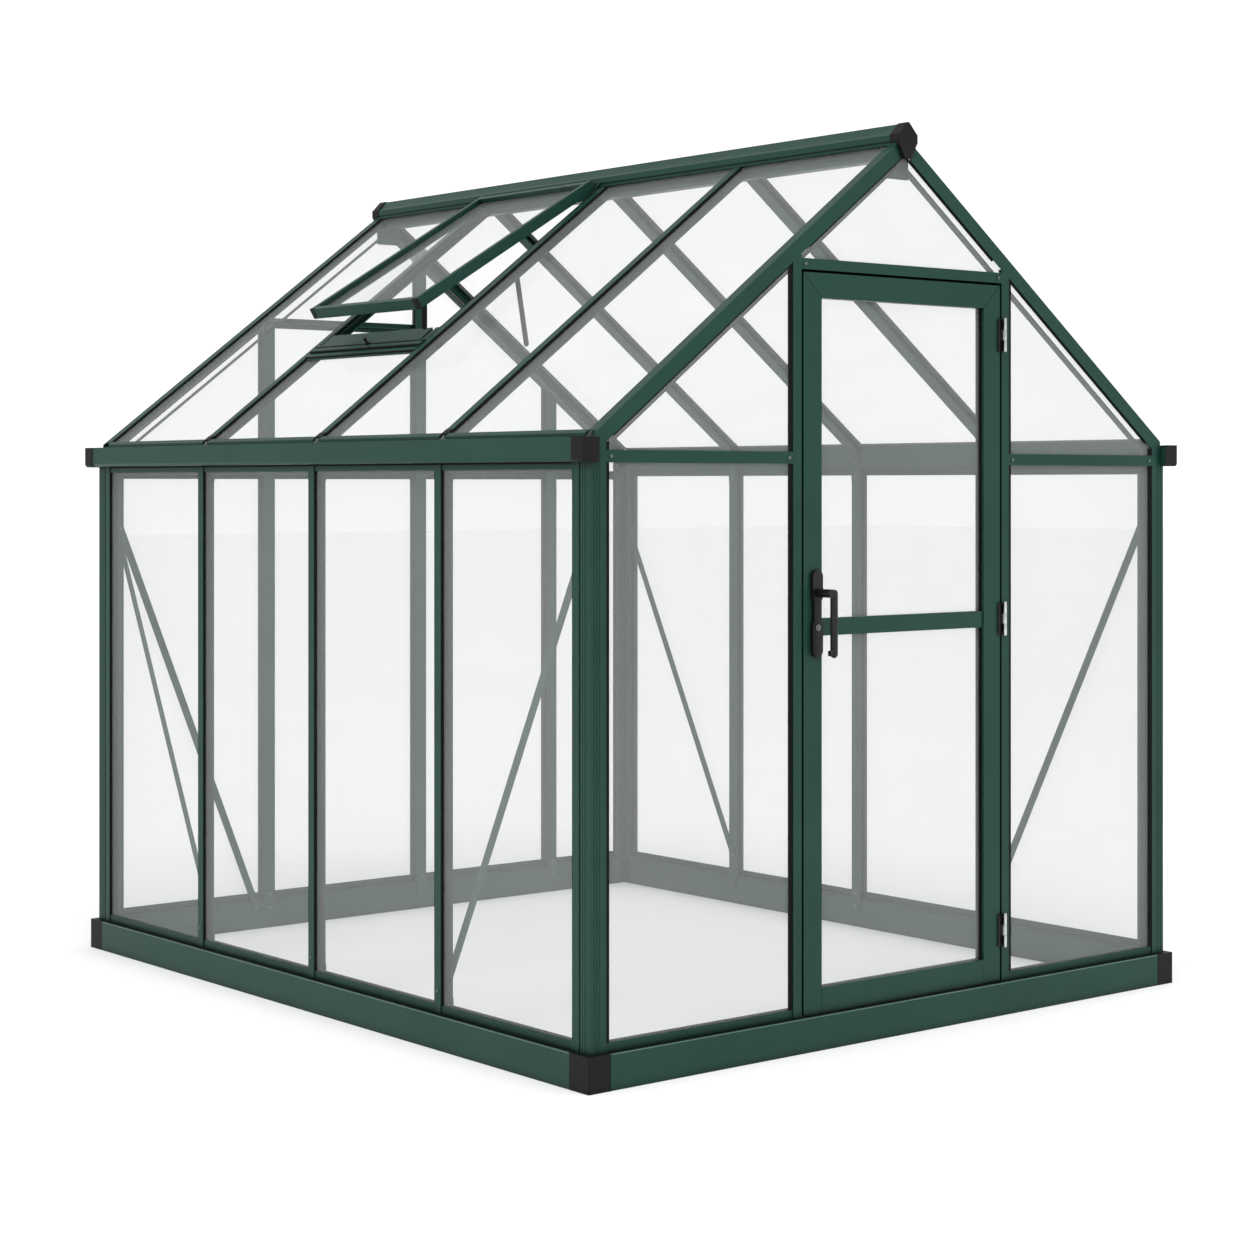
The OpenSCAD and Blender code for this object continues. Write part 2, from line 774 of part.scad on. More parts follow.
// Flat brace between two points of a side view
module brace_line(a, b) {
  d = b - a;
  translate(a) rotate(atan2(d[1], d[0])) translate([-brace_w / 2, -brace_w / 2])
    square([norm(d) + brace_w, brace_w]);
}
module wall_brace_pair() {
  across(-hw + frame_in, -hw + frame_in + brace_t) {
    brace_line([-hl + 74, 1347], [post_y(1), 172]);
    brace_line([hl - 74, 1327], [post_y(bays - 1), 172]);
  }
}
module wall_braces() {
  color(frame_green) placed() {
    wall_brace_pair();
    rightwards() wall_brace_pair();
    slab(hl - frame_in - brace_t, hl - frame_in)
      brace_line([-hw + 76, 1330], [-hw + 575, 74]);
  }
}
// Rounded plate seen from the side
module gusset_shape(h) {
  r = 8;
  w = 20;
  translate([-w, r]) square([2 * w, h - 2 * r]);
  translate([-w + r, 0]) square([2 * w - 2 * r, h]);
  for (x = [-w + r, w - r], z = [r, h - r])
    translate([x, z]) circle(r, $fn = 32);
}
module wall_gussets() {
  across(-hw + frame_in, -hw + frame_in + gusset_t)
    for (i = [1 : bays - 1]) {
      translate([post_y(i), gutter_z - 50]) gusset_shape(84);
      translate([post_y(i), base_h - 42]) gusset_shape(84);
    }
}
module ridge_gusset() {
  w = 46;
  e = ridge_half + 1;
  slab(-hl + frame_in, -hl + frame_in + gusset_t)
    polygon([[-w, zd(w, verge_in + 4)], [w, zd(w, verge_in + 4)], [w, zd(w, 15)],
      [e, zd(e, 15)], [e, ridge_low - 1], [-e, ridge_low - 1], [-e, zd(e, 15)],
      [-w, zd(w, 15)]]);
}
module gusset_plates() {
  color(frame_green) placed() {
    wall_gussets();
    rightwards() wall_gussets();
    ridge_gusset();
    rearwards() ridge_gusset();
    slab(hl - frame_in - gusset_t, hl - frame_in)
      for (x = [rear_post_1, rear_post_2, rear_post_3])
        translate([x, base_h - 42]) gusset_shape(84);
  }
}
// Pan head facing inwards from the left wall
module wall_screw(y, z, plate) {
  translate([-hw + frame_in + plate, y, z]) rotate([0, 90, 0])
    cylinder(r = screw_r, h = screw_h, $fn = 24);
}
// Pan head facing outwards on the left wall
module foot_screw(y, z) {
  translate([-hw + face_in, y, z]) rotate([0, -90, 0])
    cylinder(r = screw_r, h = screw_h, $fn = 24);
}
// Pan head facing outwards on the front gable
module gable_screw(x, z) {
  translate([x, -hl + face_in, z]) rotate([90, 0, 0])
    cylinder(r = screw_r, h = screw_h, $fn = 24);
}
// Pan head facing inwards from the rear gable
module rear_screw(x, z, plate) {
  translate([x, hl - frame_in - plate, z]) rotate([90, 0, 0])
    cylinder(r = screw_r, h = screw_h, $fn = 24);
}
module side_screws() {
  wall_screw(-hl + 74, 1347, brace_t);
  wall_screw(post_y(1), 172, brace_t);
  wall_screw(hl - 74, 1327, brace_t);
  wall_screw(post_y(bays - 1), 172, brace_t);
  for (i = [1 : bays - 1]) {
    foot_screw(post_y(i), base_h + 58);
    for (z = [gutter_z - 30, gutter_z + 14, base_h - 22, base_h + 22])
      wall_screw(post_y(i), z, gusset_t);
  }
}
module frame_screws() {
  mid = bar_z + bar_h / 2;
  color(silver) placed() {
    side_screws();
    rightwards() side_screws();
    for (x = [hw - flange_x - 14, jamb_in + jamb_w + 14], s = [-1, 1])
      gable_screw(s * x, mid);
    for (s = [-1, 1])
      gable_screw(s * (jamb_in - 14), header_z + header_h / 2);
    for (x = [rear_post_1, rear_post_2, rear_post_3], z = [base_h - 22, base_h + 22])
      rear_screw(x, z, gusset_t);
    rear_screw(-hw + 76, 1330, brace_t);
    rear_screw(-hw + 575, 74, brace_t);
  }
}

sill_x = vent_low_x + 33;
ledge_x = vent_low_x - 24;
swing = roof_pitch - vent_open;
stay_u = sash_l - 41;
stay_v = 4;
stay_w = 17;
stay_l = 81;
arm_r = 8.5;
arm_l = 225;
stay_y = sash_y0 + sash_stile;

// Place of a point of the sash, seen from the gable
function sash_x(u, v) = -vent_x - u * cos(swing) - v * sin(swing);
function sash_z(u, v) = zr(vent_x) - u * sin(swing) + v * cos(swing);
module sash_plane() {
  translate([-vent_x, zr(vent_x)]) rotate(swing) children();
}
module sash_box(u0, u1, v0, v1) {
  translate([-u1, v0]) square([u1 - u0, v1 - v0]);
}
module sill_ledge(y0, y1) {
  seam = 0.1;
  slab(y0, y1) polygon(band(0.5, lip_d0 + lip_t, sill_x - seam, ledge_x));
}
module vent_sill() {
  color(frame_green) placed() {
    slab(vent_y0, vent_y1) {
      polygon(band(-6, pane_d0, sill_x + 20, sill_x));
      polygon(band(-2, pane_d0, sill_x + 40, sill_x + 20));
      polygon(band(pane_d0, lip_d0 + lip_t, sill_x + 6, sill_x));
    }
    sill_ledge(vent_y0, stay_y - 6);
    sill_ledge(stay_y + 10, vent_y1);
  }
}
module sash_side_rail() {
  ledge = 8;
  slab(sash_y0, sash_y0 + sash_stile - ledge) sash_plane() difference() {
    union() {
      sash_box(0, sash_l, 0.5, sash_t);
      circle(6, $fn = 32);
    }
    circle(pin_r + run_gap, $fn = 32);
  }
  slab(sash_y0 + sash_stile - ledge, sash_y0 + sash_stile) sash_plane() difference() {
    union() {
      sash_box(0, sash_l, 0.5, 14);
      circle(6, $fn = 32);
    }
    circle(pin_r + run_gap, $fn = 32);
    translate([-stay_u, stay_v]) circle(pin_r + run_gap, $fn = 32);
  }
}
module vent_sash_frame() {
  ledge = 8;
  color(frame_green) placed() {
    sash_side_rail();
    translate([0, sash_y0 + sash_y1, 0]) rearwards() sash_side_rail();
    slab(sash_y0 + sash_stile, sash_y1 - sash_stile) sash_plane() {
      sash_box(8, 8 + sash_stile - ledge, 0.5, sash_t);
      sash_box(8 + sash_stile - ledge, 8 + sash_stile, 0.5, 14);
      sash_box(sash_l - sash_stile, sash_l - sash_stile + ledge, 0.5, 14);
      sash_box(sash_l - sash_stile + ledge, sash_l, 0.5, sash_t);
    }
    slab(sash_y0 + sash_stile - ledge, sash_y0 + sash_stile) sash_plane() {
      sash_box(8, 8 + sash_stile - ledge, 14, sash_t);
      sash_box(sash_l - sash_stile + ledge, sash_l, 14, sash_t);
    }
    slab(sash_y1 - sash_stile, sash_y1 - sash_stile + ledge) sash_plane() {
      sash_box(8, 8 + sash_stile - ledge, 14, sash_t);
      sash_box(sash_l - sash_stile + ledge, sash_l, 14, sash_t);
    }
  }
}
module vent_pane() {
  in = sash_stile - 8 + pane_play;
  color(clear) placed() slab(sash_y0 + in, sash_y1 - in) sash_plane()
    sash_box(8 + in, sash_l - in, 14, 14 + pane_t);
}
module vent_stay() {
  r = stay_w / 2;
  x = sash_x(stay_u, stay_v);
  z = sash_z(stay_u, stay_v);
  color(black) placed() {
    slab(stay_y + 0.3, stay_y + 3.3) translate([x, z]) {
      circle(r, $fn = 32);
      translate([-r, -stay_l + r]) square([stay_w, stay_l - r]);
      translate([0, -stay_l + r]) circle(r, $fn = 32);
    }
    slab(stay_y - 7, stay_y + 0.3) translate([x, z]) circle(pin_r, $fn = 32);
  }
}
module vent_lug() {
  slab(vent_y0 + 1, vent_y0 + 6) difference() {
    union() {
      translate([-vent_x, zr(vent_x)]) circle(6, $fn = 32);
      polygon([[-vent_x - 2, zr(vent_x) + 4], [-hood_half, zr(hood_half) + 1],
        [-hood_half, zr(hood_half) + 16], [-vent_x - 2, zr(vent_x) + 10]]);
    }
    translate([-vent_x, zr(vent_x)]) circle(pin_r, $fn = 32);
  }
}
module vent_hinge_pins() {
  color(silver) placed() {
    slab(vent_y0 + 1, sash_y0 + sash_stile - 2)
      translate([-vent_x, zr(vent_x)]) circle(pin_r, $fn = 32);
    slab(sash_y1 - sash_stile + 2, vent_y1 - 1)
      translate([-vent_x, zr(vent_x)]) circle(pin_r, $fn = 32);
  }
}
// Flat arm on a pin beside a rafter, hanging into the room
module hook_arm() {
  x = hw - 752;
  z = zd(x, flange_d0 - 8);
  y = post_y(vent_bay - 1) + flange_w / 2 + slot_gap;
  lean = 10;
  color(black) placed() {
    slab(y, y + 3) translate([-x, z]) rotate(lean) {
      circle(arm_r, $fn = 32);
      translate([-arm_r, -arm_l]) square([2 * arm_r, arm_l]);
      translate([0, -arm_l]) circle(arm_r, $fn = 32);
    }
    slab(post_y(vent_bay - 1) + stem_t / 2, y) translate([-x, z]) circle(3, $fn = 32);
  }
}
module stay_peg() {
  x = sill_x + 6;
  color(black) placed()
    translate([-x, (vent_y0 + vent_y1) / 2, zd(x, -6)]) rotate([0, -roof_pitch, 0]) {
      cylinder(r = 7, h = 3, $fn = 32);
      translate([0, 0, 3]) cylinder(r = 4, h = 14, $fn = 32);
      translate([0, 0, 17]) cylinder(r = 6, h = 3, $fn = 32);
    }
}

door_in = door_w / 2 - stile_w;
case_z0 = spindle_z - 138;
case_z1 = spindle_z + 37;
key_z = spindle_z - 90;
case_y0 = door_y0 + 8;
case_y1 = door_y1 - 8;
square_r = 4;
plate_t = 10;
neck_r = 11;
slot_gap = 0.3;

module stile() {
  difference() {
    bx(-door_w / 2, -door_in, door_y0, door_y1, door_z0, door_z1);
    bx(-door_w / 2 + tube_t, -door_in - tube_t, door_y0 + tube_t, door_y1 - tube_t,
      door_z0 + tube_t, door_z1 - tube_t);
  }
}
module door_stiles() {
  color(frame_green) placed() {
    difference() {
      stile();
      bx(-door_w / 2 - 1, -door_w / 2 + tube_t, case_y0 - 2, case_y1 + 2,
        case_z0, case_z1);
      translate([handle_x, door_y0 - 1, spindle_z]) rotate([-90, 0, 0])
        cylinder(r = 7, h = door_t + 2, $fn = 32);
      translate([handle_x, door_y0 - 1, key_z]) rotate([-90, 0, 0])
        cylinder(r = 9, h = door_t + 2, $fn = 32);
    }
    rightwards() stile();
  }
}
module door_rail(z0, z1, in) {
  difference() {
    bx(-door_in, door_in, door_y0 + in, door_y1 - in, z0, z1);
    bx(-door_in + tube_t, door_in - tube_t, door_y0 + in + tube_t,
      door_y1 - in - tube_t, z0 + tube_t, z1 - tube_t);
  }
}
module door_rails() {
  color(frame_green) placed() {
    door_rail(door_z0, door_z0 + stile_w, 0);
    door_rail(door_z1 - stile_w, door_z1, 0);
    door_rail(mid_rail_z - mid_rail_h / 2, mid_rail_z + mid_rail_h / 2, 4);
  }
}
module door_panes() {
  y0 = door_y0 + door_t / 2 - pane_t / 2;
  color(clear) placed() {
    bx(-door_in, door_in, y0, y0 + pane_t, door_z0 + stile_w,
      mid_rail_z - mid_rail_h / 2);
    bx(-door_in, door_in, y0, y0 + pane_t, mid_rail_z + mid_rail_h / 2,
      door_z1 - stile_w);
  }
}

// Upright round bar with a bore
module knuckle(z0, z1) {
  difference() {
    translate([hinge_x, barrel_y, z0]) cylinder(r = knuckle_r, h = z1 - z0, $fn = 32);
    translate([hinge_x, barrel_y, z0 - 1])
      cylinder(r = pin_r + run_gap, h = z1 - z0 + 2, $fn = 32);
  }
}
module hinge_leaves_door() {
  third = hinge_l / 3;
  y0 = door_y0 - 2.6;
  y1 = door_y0 - 0.6;
  neck = hinge_x - 4.2;
  color(silver) placed() for (z = hinge_zs) {
    bx(door_w / 2 - 11, neck, y0, y1, z - hinge_l / 2, z + hinge_l / 2);
    bx(door_w / 2 - 11, door_w / 2 - 1, y1, door_y0, z - hinge_l / 2, z + hinge_l / 2);
    bx(neck - 2.8, neck, barrel_y, y1, z - third / 2 + 0.3, z + third / 2 - 0.3);
    knuckle(z - third / 2 + 0.3, z + third / 2 - 0.3);
  }
}
module hinge_leaves_jamb() {
  third = hinge_l / 3;
  y0 = door_y0 - 2.6;
  neck = hinge_x + 4.2;
  color(silver) placed() for (z = hinge_zs) {
    bx(neck, neck + 6, y0, door_y0, z - hinge_l / 2, z + hinge_l / 2);
    for (s = [-1, 1]) {
      a = z + s * third - third / 2;
      bx(neck, neck + 2.8, barrel_y, y0, a, a + third);
      knuckle(a, a + third);
    }
  }
}
module hinge_pins() {
  color(silver) placed() for (z = hinge_zs) {
    translate([hinge_x, barrel_y, z - hinge_l / 2])
      cylinder(r = pin_r, h = hinge_l, $fn = 32);
    translate([hinge_x, barrel_y, z + hinge_l / 2])
      cylinder(r = knuckle_r - 0.5, h = 3, $fn = 32);
    translate([hinge_x, barrel_y, z - hinge_l / 2 - 3])
      cylinder(r = knuckle_r - 0.5, h = 3, $fn = 32);
  }
}

// Outline of a long plate seen from the front
module plate_outline() {
  r = 18;
  slim = 13;
  ends = [key_z + 3, key_z - 59, spindle_z + 42, spindle_z - 7];
  for (z = ends) translate([handle_x, z]) circle(r, $fn = 64);
  translate([handle_x - r, key_z - 59]) square([2 * r, 62]);
  translate([handle_x - r, spindle_z - 7]) square([2 * r, 49]);
  translate([handle_x - slim, key_z]) square([2 * slim, spindle_z - key_z]);
}
module long_plate(y0, y1) {
  slab(y0, y1) difference() {
    plate_outline();
    translate([handle_x, spindle_z]) circle(6.3, $fn = 32);
    translate([handle_x, key_z]) circle(8.8, $fn = 32);
  }
}
module handle_plates() {
  color(black) placed() {
    long_plate(door_y0 - plate_t, door_y0);
    long_plate(door_y1, door_y1 + plate_t);
  }
}
// Lever with a neck out of the plate and a grip hanging down
module outer_lever() {
  grip_r = 10;
  side = 17;
  drop = 158;
  y = -hl + leaf_proud + grip_r;
  x = handle_x + side;
  difference() {
    union() {
      translate([x, y, spindle_z - drop]) cylinder(r = grip_r, h = drop, $fn = 48);
      translate([x, y, spindle_z - drop]) sphere(grip_r, $fn = 48);
      translate([x, y, spindle_z]) sphere(grip_r, $fn = 48);
      translate([handle_x, y, spindle_z]) rotate([0, 90, 0])
        cylinder(r = grip_r, h = side, $fn = 48);
      bx(x - grip_r - 7, x, y - 5, y + 5, spindle_z - drop - 4, spindle_z - drop + 10);
      slab(y - grip_r, door_y0 - plate_t - slot_gap)
        translate([handle_x, spindle_z]) circle(neck_r, $fn = 48);
    }
    bx(handle_x - square_r, handle_x + square_r, y - grip_r + 4, door_y0,
      spindle_z - square_r, spindle_z + square_r);
  }
}
module handle_levers() {
  color(black) placed() {
    outer_lever();
    translate([0, door_y0 + door_y1, 0]) rearwards() outer_lever();
  }
}
module handle_spindle() {
  out = -hl + leaf_proud + 4;
  color(silver) placed()
    bx(handle_x - square_r, handle_x + square_r, out, door_y0 + door_y1 - out,
      spindle_z - square_r, spindle_z + square_r);
}
module latch_case() {
  shell = 1.5;
  x0 = -door_w / 2;
  x1 = handle_x + 14;
  color(silver) placed() difference() {
    union() {
      bx(x0, x0 + tube_t, case_y0 - 2, case_y1 + 2, case_z0, case_z1);
      bx(x0 + tube_t, x1, case_y0, case_y1, case_z0 + 6, case_z1 - 6);
    }
    bx(x0 + tube_t + shell, x1 - shell, case_y0 + shell, case_y1 - shell,
      case_z0 + 6 + shell, case_z1 - 6 - shell);
    bx(x0 - 1, x0 + tube_t + shell + 1, bolt_y0 - slot_gap, bolt_y1 + slot_gap,
      spindle_z - 7 - slot_gap, spindle_z + 7 + slot_gap);
    translate([handle_x, case_y0 - 1, spindle_z]) rotate([-90, 0, 0])
      cylinder(r = 7, h = case_y1 - case_y0 + 2, $fn = 32);
    translate([handle_x, case_y0 - 1, key_z]) rotate([-90, 0, 0])
      cylinder(r = 9, h = case_y1 - case_y0 + 2, $fn = 32);
  }
}
bolt_y0 = door_y0 + door_t / 2 - 5;
bolt_y1 = bolt_y0 + 10;
module latch_bolt() {
  tip = -door_w / 2 - bolt_throw;
  color(silver) placed()
    translate([0, 0, spindle_z - 7]) linear_extrude(14)
      polygon([[tip, bolt_y0], [tip + 30, bolt_y0], [tip + 30, bolt_y1],
        [tip + 7, bolt_y1], [tip, bolt_y0 + 3]]);
}
module lock_cylinder() {
  color(silver) placed() slab(door_y0 - plate_t - 2, door_y1 + plate_t + 2)
    translate([handle_x, key_z]) difference() {
      circle(8.5, $fn = 48);
      circle(5.5, $fn = 48);
    }
}
module key_plug() {
  color(silver) placed() difference() {
    slab(door_y0 - plate_t - 2, door_y1 + plate_t + 2)
      translate([handle_x, key_z]) circle(5.5 - run_gap, $fn = 48);
    bx(handle_x - 0.6, handle_x + 0.6, door_y0 - plate_t - 3, door_y0 - plate_t + 4,
      key_z - 4, key_z + 4);
  }
}
module strike_plate() {
  x0 = -jamb_in;
  color(silver) placed() difference() {
    bx(x0, x0 + 1.5, -hl + 25, -hl + 47, spindle_z - 30, spindle_z + 30);
    bx(x0 - 1, x0 + 3, -hl + 29, -hl + 43, spindle_z - 11, spindle_z + 11);
  }
}

base_rail_front();
base_rail_rear();
base_rail_left();
base_rail_right();
base_corner_caps();
corner_post_front_left();
corner_post_front_right();
corner_post_rear_left();
corner_post_rear_right();
side_posts_left();
side_posts_right();
rear_posts();
door_jamb_left();
door_jamb_right();
door_header();
gable_crossbars();
sill_rail_left();
sill_rail_right();
sill_rails_gables();
top_rail_left();
top_rail_right();
gutter_left();
gutter_right();
gutter_end_caps();
ridge_beam();
ridge_end_caps();
gable_rafters_front();
gable_rafters_rear();
rafters_left();
rafters_right();
wall_panels_left();
wall_panels_right();
gable_panels_front();
gable_panels_rear();
roof_panels_left();
roof_panels_right();
wall_braces();
gusset_plates();
frame_screws();
vent_sill();
vent_sash_frame();
vent_pane();
vent_stay();
vent_hinge_pins();
stay_peg();
hook_arm();
door_stiles();
door_rails();
door_panes();
hinge_leaves_door();
hinge_leaves_jamb();
hinge_pins();
handle_plates();
handle_levers();
handle_spindle();
latch_case();
latch_bolt();
lock_cylinder();
key_plug();
strike_plate();
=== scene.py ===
import math
import bpy
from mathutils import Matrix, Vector
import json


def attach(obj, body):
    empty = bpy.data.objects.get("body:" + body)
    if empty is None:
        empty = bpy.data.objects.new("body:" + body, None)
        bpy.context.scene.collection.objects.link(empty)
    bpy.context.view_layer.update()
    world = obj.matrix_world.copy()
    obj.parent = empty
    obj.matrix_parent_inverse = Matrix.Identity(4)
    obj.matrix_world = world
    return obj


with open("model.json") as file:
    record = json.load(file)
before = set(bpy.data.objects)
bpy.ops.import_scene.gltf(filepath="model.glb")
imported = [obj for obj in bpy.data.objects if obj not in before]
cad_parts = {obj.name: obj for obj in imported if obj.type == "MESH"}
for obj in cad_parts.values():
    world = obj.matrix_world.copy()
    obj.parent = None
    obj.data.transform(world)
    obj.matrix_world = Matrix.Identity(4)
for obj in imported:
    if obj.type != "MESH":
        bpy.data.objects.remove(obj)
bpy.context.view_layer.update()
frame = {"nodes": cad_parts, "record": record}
nodes = frame["nodes"]
print("frame loaded")

# everything is in metres, with the same origin as the frame
house = {
    "halfWidth": 1.100, "halfLength": 1.275, "middleY": 0.021,
    "baseTop": 0.090, "sillTop": 0.112, "railLow": 1.507, "gutterLow": 1.526,
    # how far the bars' faces and the panes lie in from the outline
    "faceIn": 0.020, "stripIn": 0.023, "paneIn": 0.027, "frameIn": 0.054,
    "stripHalf": 0.014, "postPitch": 0.615, "firstPost": 0.045,
    "cornerEdge": 0.071, "wallStripEdge": 0.089, "jambEdge": 0.410,
    # the roof
    "eaveHeight": 1.603, "eaveIn": 0.043, "pitch": math.radians(37.2),
    "ridgeHalf": 0.034, "vergeWidth": 0.039, "ventHigh": 0.044, "sillLow": 0.7245,
    # the gables' cross bars and the rear posts
    "barLow": 1.524, "barTop": 1.555, "rearBarLow": 1.488, "rearBarTop": 1.519,
    "rearHeaderLow": 1.991, "rearPosts": (-0.474, 0.136, 0.708),
}
house["front"] = house["middleY"] - house["halfLength"]
house["rear"] = house["middleY"] + house["halfLength"]


def lookOf(name):
    look = bpy.data.materials.new(name)
    look.use_nodes = True
    return look, look.node_tree.nodes, look.node_tree.links


def grain(parts, wires, scale, detail=4.0):
    place = parts.new("ShaderNodeTexCoord")
    noise = parts.new("ShaderNodeTexNoise")
    noise.inputs["Scale"].default_value = scale
    noise.inputs["Detail"].default_value = detail
    wires.new(place.outputs["Object"], noise.inputs["Vector"])
    return noise


def ramp(parts, wires, source, low, high, start=0.3, end=0.7):
    tone = parts.new("ShaderNodeValToRGB")
    tone.color_ramp.elements[0].position = start
    tone.color_ramp.elements[1].position = end
    tone.color_ramp.elements[0].color = (*low, 1)
    tone.color_ramp.elements[1].color = (*high, 1)
    wires.new(source, tone.inputs["Fac"])
    return tone


# the crease values set the painted shade darkening grooves and corners of each finish
coat = {"fineDetail": 6.0, "bumpDepth": 0.0004, "broadScale": 3.0,
        "creaseReach": 0.022, "creaseRays": 6, "creaseFrom": 0.35, "creaseTo": 0.95,
        "creaseShadeTone": 0.25}


def roughBump(parts, wires, shader, scale, height, low, high):
    fine = grain(parts, wires, scale, coat["fineDetail"])
    bump = parts.new("ShaderNodeBump")
    bump.inputs["Strength"].default_value = height
    bump.inputs["Distance"].default_value = coat["bumpDepth"]
    wires.new(fine.outputs["Fac"], bump.inputs["Height"])
    wires.new(bump.outputs["Normal"], shader.inputs["Normal"])
    sheen = parts.new("ShaderNodeMapRange")
    sheen.inputs["To Min"].default_value = low
    sheen.inputs["To Max"].default_value = high
    wires.new(fine.outputs["Fac"], sheen.inputs["Value"])
    wires.new(sheen.outputs["Result"], shader.inputs["Roughness"])


def creasePaintedShade(parts, wires, colour):
    # painted shade: the coat's colour is darkened in grooves and corners, where less light
    # reaches
    near = parts.new("ShaderNodeAmbientOcclusion")
    near.samples = coat["creaseRays"]
    near.inputs["Distance"].default_value = coat["creaseReach"]
    dark = parts.new("ShaderNodeMapRange")
    dark.inputs["From Min"].default_value = coat["creaseFrom"]
    dark.inputs["From Max"].default_value = coat["creaseTo"]
    dark.inputs["To Min"].default_value = coat["creaseShadeTone"]
    wires.new(near.outputs["AO"], dark.inputs["Value"])
    mix = parts.new("ShaderNodeMix")
    mix.data_type = "RGBA"
    mix.blend_type = "MULTIPLY"
    mix.inputs["Factor"].default_value = 1.0
    wires.new(colour, mix.inputs[6])  # the first colour socket, A
    wires.new(dark.outputs["Result"], mix.inputs[7])  # and B
    return mix.outputs[2]


def coated(name, dark, light, rough, scale, height, gloss=0.5, metal=0.0):
    # a finish between two tones, with a fine grain in its sheen and painted shade in its creases
    look, parts, wires = lookOf(name)
    shader = parts["Principled BSDF"]
    broad = grain(parts, wires, coat["broadScale"])
    tone = ramp(parts, wires, broad.outputs["Fac"], dark, light)
    wires.new(creasePaintedShade(parts, wires, tone.outputs["Color"]), shader.inputs["Base Color"])
    shader.inputs["Metallic"].default_value = metal
    shader.inputs["Specular IOR Level"].default_value = gloss
    roughBump(parts, wires, shader, scale, height, *rough)
    return look


greenCoat = coated("greenPowderCoat", (0.0072, 0.0395, 0.0288), (0.0098, 0.0465, 0.0348),
                   rough=(0.34, 0.48), scale=700.0, height=0.08, gloss=0.20)
# a lighter green used as a painted highlight on the base rails' edges
paintedHighlightCoat = coated("greenPaintedHighlight", (0.060, 0.120, 0.100), (0.095, 0.160, 0.140),
                  rough=(0.30, 0.42), scale=700.0, height=0.05)
blackMould = coated("blackMoulded", (0.0055, 0.0055, 0.006), (0.0085, 0.0085, 0.009),
                    rough=(0.46, 0.62), scale=900.0, height=0.14, gloss=0.16)
blackCoat = coated("blackFurniture", (0.0045, 0.0045, 0.005), (0.007, 0.007, 0.0075),
                   rough=(0.26, 0.38), scale=1000.0, height=0.06, gloss=0.3)
sealRubber = coated("sealRubber", (0.004, 0.004, 0.004), (0.007, 0.007, 0.007),
                    rough=(0.65, 0.80), scale=700.0, height=0.15, gloss=0.12)
brightSteel = coated("brightSteel", (0.55, 0.55, 0.56), (0.68, 0.68, 0.69),
                     rough=(0.22, 0.38), scale=500.0, height=0.05, metal=1.0)
dullSteel = coated("dullSteel", (0.16, 0.16, 0.165), (0.26, 0.26, 0.265),
                   rough=(0.30, 0.45), scale=500.0, height=0.05, metal=1.0)
greyScrew = coated("greyScrew", (0.10, 0.13, 0.125), (0.15, 0.18, 0.175),
                   rough=(0.35, 0.5), scale=500.0, height=0.05, gloss=0.3, metal=0.6)

sheet = {"tint": (0.56, 0.58, 0.575), "cover": 0.13, "hazeScale": 1.6, "hazeDetail": 3.0,
         "dim": 0.98, "coverRange": (0.85, 1.15), "rough": 0.08, "index": 1.45}


def clearSheet(name):
    # clear plastic with a faint uneven haze
    look, parts, wires = lookOf(name)
    shader = parts["Principled BSDF"]
    tint, cover = sheet["tint"], sheet["cover"]
    haze = grain(parts, wires, sheet["hazeScale"], sheet["hazeDetail"])
    tone = ramp(parts, wires, haze.outputs["Fac"],
                tuple(c * sheet["dim"] for c in tint), tint)
    wires.new(tone.outputs["Color"], shader.inputs["Base Color"])
    film = parts.new("ShaderNodeMapRange")
    film.inputs["To Min"].default_value = cover * sheet["coverRange"][0]
    film.inputs["To Max"].default_value = cover * sheet["coverRange"][1]
    wires.new(haze.outputs["Fac"], film.inputs["Value"])
    wires.new(film.outputs["Result"], shader.inputs["Alpha"])
    shader.inputs["Roughness"].default_value = sheet["rough"]
    shader.inputs["IOR"].default_value = sheet["index"]
    return look


clearPane = clearSheet("clearPane")
print("finishes ready")

finishes = {"green_frame": greenCoat, "black_plastic": blackMould,
            "black_metal": blackCoat, "clear_panel": clearPane, "steel": brightSteel}
slotOf = {s["node"]: s["material_slot"] for s in frame["record"]["subparts"]}


def dressNode(name, look):
    mesh = nodes[name].data
    if not mesh.materials:
        mesh.materials.append(look)
    for place in nodes[name].material_slots:
        place.material = look


soft = {"weld": 0.00002, "angle": math.radians(40), "baseRail": 0.0018, "others": 0.0007,
        "seal": 0.0004}


def softEdges(thing, width):
    edge = thing.modifiers.new("softEdges", "BEVEL")
    edge.width = width
    edge.segments = 2
    edge.limit_method = "ANGLE"
    return edge


def softenNode(name, width):
    weld = nodes[name].modifiers.new("joinCorners", "WELD")
    weld.merge_threshold = soft["weld"]
    edge = softEdges(nodes[name], width)
    edge.angle_limit = soft["angle"]
    edge.use_clamp_overlap = True


for name in nodes:
    dressNode(name, finishes[slotOf[name]])
dressNode("frame_screws", greyScrew)
for name in ("lock_cylinder", "key_plug"):
    dressNode(name, dullSteel)
for name in nodes:
    if slotOf[name] != "clear_panel":
        isRail = name.startswith("base_rail")
        softenNode(name, soft["baseRail" if isRail else "others"])
print("frame dressed")


def alone():
    bpy.ops.object.select_all(action="DESELECT")


def addBox(low, high):
    alone()
    size = [high[i] - low[i] for i in range(3)]
    middle = [(high[i] + low[i]) / 2 for i in range(3)]
    bpy.ops.mesh.primitive_cube_add(size=1, location=middle)
    box = bpy.context.object
    box.scale = size
    bpy.ops.object.transform_apply(location=True, rotation=True, scale=True)
    return box


